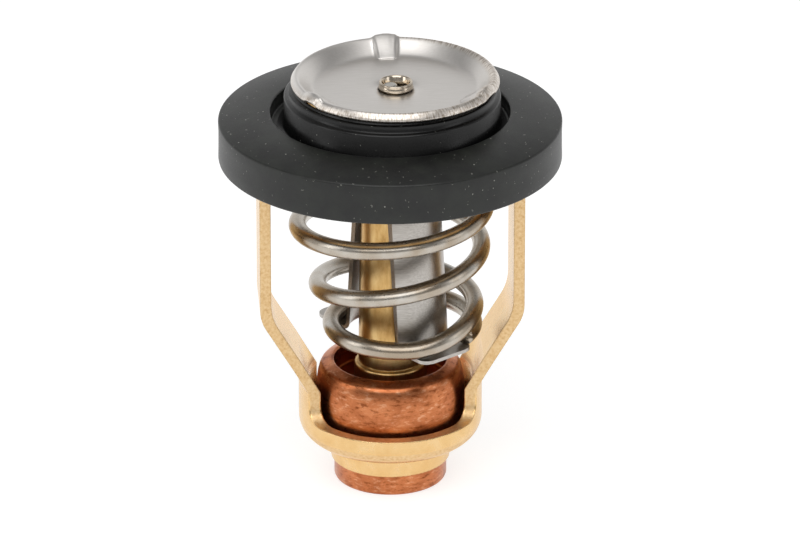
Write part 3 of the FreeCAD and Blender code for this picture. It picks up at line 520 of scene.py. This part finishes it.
disc = turn_up("pressed_valve_disc", [
    (2.05, DISC_FLOOR), (5.5, DISC_FLOOR), (8.4, DISC_FLOOR), (9.6, DISC_FLOOR), (10.6, DISC_FLOOR),
    (11.3, DISC_FLOOR), (11.65, DISC_FLOOR + 0.12), (12.4, DISC_FLOOR + 0.75), (13.1, DISC_FLOOR + 1.42),
    (13.55, DISC_FLOOR + 1.86), (13.85, DISC_FLOOR + 1.97), (14.1, DISC_FLOOR + 1.82),
    (14.4, DISC_FLOOR + 1.35), (14.7, DISC_FLOOR + 0.92)], 180)
for rib_angle in RIB_ANGLES:
    rib_way = Vector((math.cos(rib_angle), math.sin(rib_angle), 0))
    rib_side = Vector((-rib_way.y, rib_way.x, 0))
    # Radius from and to, share of the rib's half width, how far the points move in and up, in mm
    for inner, outer, share, inwards, upwards in (
            (11.2, 11.4, 1.0, 1.25, 0.05), (11.5, 11.8, 1.0, 0.95, 0.22), (12.2, 12.5, 1.0, 0.55, 0.32),
            (12.9, 13.3, 1.0, 0.35, 0.4), (13.4, 14.2, 1.0, 0.0, 0.44), (14.3, 14.8, 1.0, -0.12, 0.4),
            (11.5, 14.8, 0.55, 0.05, 0.13)):
        count = select_points(disc, lambda at: abs(at.dot(rib_side)) < RIB_HALF * share
                              and at.dot(rib_way) > 0 and inner < math.hypot(at.x, at.y) < outer)
        bpy.ops.transform.translate(value=(rib_way * -inwards + Vector((0, 0, upwards))) * MM)
    print("rib at", round(math.degrees(rib_angle)), "degrees, last step moved", count, "points")
set_over(DISC_OFFSET)
weld(disc)
if disc.data.polygons[0].normal.z < 0:
    disc.data.flip_normals()
apply_modifier(disc, "SOLIDIFY", thickness=DISC_SHEET * MM, offset=-1.0)
apply_modifier(disc, "SUBSURF", levels=1, render_levels=1)
smooth(disc)
place_piece(disc, "rolled_stainless_sheet", "valve_disc", "valve")

# %% [markdown]
# The bracket keeps its CAD shape, apart from its front strip. On the real unit that strip stands a little to
# the right, so it is set over by three quarters of a millimetre in a merged copy of the node, and its foot
# is drawn in. The back strip stays, because it hugs the guide and would cut into it. The bracket is the
# same sheet as the disc; its material is a copy of the disc's with darker colours, which are painted shade.

# %% Spring bracket
BRACKET_OFFSET = 0.75
BRACKET_ANGLE = math.radians(-50.0)
FOOT_SHORTER = 1.2
FOOT_TOP = 22.2
FOOT_REACH = 9.2

# A copy of the disc's sheet with darker stops: painted shade on the same steel.
bracket_sheet = bpy.data.materials["rolled_stainless_sheet"].copy()
bracket_sheet.name = "shaded_bracket_sheet"
for node in bracket_sheet.node_tree.nodes:
    if node.bl_idname == "ShaderNodeValToRGB":
        ramp(node, [(0.3, "#aaa59e"), (0.5, "#b9b4ae"), (0.7, "#c6c2bc")])


def copy_of_node(node, name):
    """A merged copy of a CAD node as an object of its own, active and in edit mode."""
    clear_selection()
    piece = bpy.data.objects.new(name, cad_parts[node].data.copy())
    bpy.context.collection.objects.link(piece)
    piece.select_set(True)
    bpy.context.view_layer.objects.active = piece
    bpy.ops.object.mode_set(mode="EDIT")
    bpy.ops.mesh.select_all(action="SELECT")
    bpy.ops.mesh.remove_doubles(threshold=0.001 * MM)
    return piece


bracket = copy_of_node("spring_bracket", "stamped_spring_bracket")
foot_way = Vector((math.cos(BRACKET_ANGLE), math.sin(BRACKET_ANGLE), 0))
count = select_points(bracket, lambda at: at.dot(foot_way) > 0)
bpy.ops.transform.translate(value=(BRACKET_OFFSET * MM, 0, 0))
print("front strip's points set over:", count)
count = select_points(bracket, lambda at: at.z < FOOT_TOP and at.dot(foot_way) > FOOT_REACH)
bpy.ops.transform.translate(value=foot_way * -FOOT_SHORTER * MM)
print("front foot's points drawn in:", count)
bpy.ops.object.mode_set(mode="OBJECT")
place_piece(bracket, "shaded_bracket_sheet", "spring_bracket", "valve")

# %% [markdown]
# The spring stays against the flange while the bracket's feet push its lower end up. A rigid spring would
# let the feet pass into its coils. Here a merged copy of the node, shaded smooth, takes its place.

coil = copy_of_node("conical_spring", "coiled_conical_spring")
bpy.ops.object.mode_set(mode="OBJECT")
smooth(coil, 40)
place_piece(coil, "drawn_stainless_wire", "conical_spring", "frame")
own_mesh(coil)

# %% [markdown]
# The rivet is nickel plated, so it mirrors what is round it. Smears half a millimetre wide dull it here and
# there.

# %% Nickel plate
tree, shader, mm = surface("bright_nickel_plate", Metallic=1.0, Base_Color=colour("#cfc3b2"))
smear = add(tree, "TexNoise", {"Vector": mm, "Scale": 2.0, "Detail": 3.0}).outputs["Fac"]
nickel_rough = add(tree, "MapRange", {"Value": smear, "To Min": 0.08, "To Max": 0.24}).outputs["Result"]
wire_up(tree, shader, Roughness=nickel_rough)

# %% [markdown]
# The rivet is a tubular eyelet. Its end was flared and rolled over, so its lip is round, and its bore opens
# in a soft funnel. It is turned up as one closed ring, set over like the disc, and rounded by Subdivision.

# %% Centre rivet
RIVET_OFFSET = 0.8

rivet = turn_up("flared_eyelet_rivet", [
    (1.62, 57.6), (2.9, 57.6), (2.9, 57.95), (2.02, 58.0), (2.02, 59.0), (2.42, 59.14), (2.46, 59.3),
    (2.4, 59.62), (2.3, 59.78), (2.36, 60.0), (2.3, 60.13), (2.12, 60.15), (1.98, 60.05), (1.86, 59.72),
    (1.7, 59.3), (1.62, 58.9), (1.62, 57.6)], 64)
set_over(RIVET_OFFSET)
weld(rivet)
apply_modifier(rivet, "SUBSURF", levels=2, render_levels=2)
smooth(rivet)
place_piece(rivet, "bright_nickel_plate", "centre_rivet", "valve")

# %% [markdown]
# The piston is ground steel, smoother than the sheet. The wheel's marks run round it, finer than a pixel,
# and show only as a change in its shine.

# %% Ground steel
tree, shader, mm = surface("ground_steel", Metallic=1.0, Base_Color=colour("#b9b6b0"))
grind = add(tree, "Mapping", {"Vector": mm, "Scale": (0.5, 0.5, 9.0)}).outputs["Vector"]
grind_marks = add(tree, "TexNoise", {"Vector": grind, "Scale": 2.0, "Detail": 2.0}).outputs["Fac"]
steel_rough = add(tree, "MapRange", {"Value": grind_marks, "To Min": 0.2, "To Max": 0.34}).outputs["Result"]
wire_up(tree, shader, Roughness=steel_rough)
paint("steel_piston", "ground_steel")

# %% [markdown]
# The rubber is moulded nitrile, black and matte, with a haze in patches about 3 mm wide. Talc and lint have
# caught on it as pale specks about 0.2 mm wide. The seat ring's skin is smoother, so it shines more. Its base
# and haze are near black, darker than the gasket's: painted shade, for the dark gap under the disc. The third
# rubber is for the diaphragm and the plug, which are hidden inside and stay clean.

# %% Rubber
for name, base, haze, roughness, sheen, speck_limit in (
        ("moulded_nitrile_gasket", "#0b0c0a", "#1b1e19", 0.42, 0.5, 0.045),
        # The seat's near-black base and haze are painted shade; its rubber is the gasket's.
        ("shaded_nitrile_seat", "#030303", "#070707", 0.3, 0.4, 0.03),
        ("nitrile_inside", "#141414", "#1a1a1a", 0.6, 0.5, 0.0)):
    tree, shader, mm = surface(name, Specular_IOR_Level=sheen)
    bloom = add(tree, "TexNoise", {"Vector": mm, "Scale": 0.3, "Detail": 5.0,
                                   "Roughness": 0.6}).outputs["Fac"]
    hazy = add(tree, "MapRange", {"Value": bloom, "From Min": 0.4, "From Max": 0.68}).outputs["Result"]
    dull = add(tree, "Mix", {0: hazy, 6: colour(base), 7: colour(haze)}, data_type="RGBA").outputs[2]
    cells = add(tree, "TexVoronoi", {"Vector": mm, "Scale": 0.55, "Randomness": 1.0})
    speck = add(tree, "MapRange", {"Value": cells.outputs["Distance"], "From Min": speck_limit,
                                   "From Max": speck_limit + 0.02, "To Min": 1.0,
                                   "To Max": 0.0}).outputs["Result"]
    ragged = add(tree, "TexNoise", {"Vector": mm, "Scale": 1.6, "Detail": 2.0}).outputs["Color"]
    shaken = add(tree, "Mix", {0: 0.5, 6: mm, 7: ragged}, data_type="RGBA",
                 blend_type="LINEAR_LIGHT").outputs[2]
    crumbs = add(tree, "TexVoronoi", {"Vector": shaken, "Scale": 0.9, "Randomness": 1.0})
    crumb = add(tree, "MapRange", {"Value": crumbs.outputs["Distance"], "From Min": speck_limit * 1.7,
                                   "From Max": speck_limit * 2.3, "To Min": 0.45,
                                   "To Max": 0.0}).outputs["Result"]
    dust = add(tree, "Math", {0: speck, 1: crumb}, operation="MAXIMUM").outputs[0]
    specked = add(tree, "Mix", {0: dust, 6: dull, 7: colour("#9a9a92")}, data_type="RGBA").outputs[2]
    skin_grain = add(tree, "TexNoise", {"Vector": mm, "Scale": 5.0, "Detail": 4.0}).outputs["Fac"]
    rubber_rough = add(tree, "MapRange", {"Value": skin_grain, "To Min": roughness - 0.08,
                                          "To Max": roughness + 0.08}).outputs["Result"]
    bump = add(tree, "Bump", {"Height": skin_grain, "Strength": 0.2, "Distance": 0.04 * MM})
    wire_up(tree, shader, Base_Color=specked if speck_limit else dull, Roughness=rubber_rough,
            Normal=bump.outputs["Normal"])
for piece in ("rubber_diaphragm", "rubber_plug"):
    paint(piece, "nitrile_inside")

# %% [markdown]
# The gasket is one moulded ring with a groove for the flange's rim. Rubber leaves the mould with soft
# edges, so the outline has plain corners and the Bevel modifier rounds them all alike.

# %% Rubber gasket
MOULD_EDGE = 0.28

gasket = turn_up("moulded_rim_gasket", [
    (19.78, 48.8), (21.9, 48.8), (24.0, 48.8), (23.96, 50.6), (23.94, 52.8), (24.0, 54.6), (20.4, 55.19),
    (16.7, 55.8), (16.7, 53.7), (15.5, 53.7), (15.5, 53.0), (19.78, 53.0), (19.78, 51.9), (21.9, 51.9),
    (21.9, 50.9), (19.78, 50.9), (19.78, 48.8)], 256)
weld(gasket)
apply_modifier(gasket, "BEVEL", width=MOULD_EDGE * MM, segments=3, limit_method="ANGLE",
               angle_limit=math.radians(40))
smooth(gasket, 35)
place_piece(gasket, "moulded_nitrile_gasket", "rubber_gasket", "frame")

# %% [markdown]
# The seat ring is a rubber collar pushed over the flange's neck. Its shoulder steps in under the disc, so
# the gap there stays black, and only the shoulder's round edge catches a line of light. A thin foot spreads
# over the gasket's web, so no brass shows between the two.

# %% Seat ring
SEAT_OFFSET = 0.3

seat = turn_up("moulded_seat_ring", [
    (13.55, 52.8), (15.0, 52.8), (15.13, 52.95), (15.13, 53.74), (16.05, 53.74), (16.05, 53.84),
    (15.35, 53.95), (15.13, 54.2), (15.13, 57.95), (15.06, 58.14), (14.9, 58.22), (14.55, 58.26),
    (14.42, 58.4), (14.4, 59.2), (14.2, 59.34), (13.95, 59.36), (13.8, 59.6), (13.5, 59.6), (12.75, 58.75),
    (12.62, 58.44), (13.55, 58.44), (13.55, 52.8)], 192)
set_over(SEAT_OFFSET)
weld(seat)
smooth(seat, 50)
place_piece(seat, "shaded_nitrile_seat", "rubber_seat_ring", "frame")

# %% [markdown]
# Two more pieces are never seen while the unit is whole, but a section would show them: the wax, cloudy with
# copper powder, and a white moulded washer.

# %% Wax and washer
tree, shader, mm = surface("wax_with_copper_powder", Roughness=0.5)
powder = add(tree, "TexNoise", {"Vector": mm, "Scale": 3.0, "Detail": 6.0}).outputs["Fac"]
wax_colour = ramp(add(tree, "ValToRGB", {"Fac": powder}), [(0.4, "#a8804c"), (0.6, "#d8c79a")])
wire_up(tree, shader, Base_Color=wax_colour)
paint("wax_charge", "wax_with_copper_powder")
tree, shader, mm = surface("moulded_white_plastic", Roughness=0.4)
cloud = add(tree, "TexNoise", {"Vector": mm, "Scale": 1.5, "Detail": 3.0}).outputs["Fac"]
white_colour = ramp(add(tree, "ValToRGB", {"Fac": cloud}), [(0.3, "#e2e0da"), (0.7, "#f0efea")])
wire_up(tree, shader, Base_Color=white_colour)
paint("bore_washer", "moulded_white_plastic")

# %% [markdown]
# The colours are meant as written, so the view transform is Standard, which adds no look of its own.

# %% Colours as written, and the end
bpy.context.scene.view_settings.view_transform = "Standard"
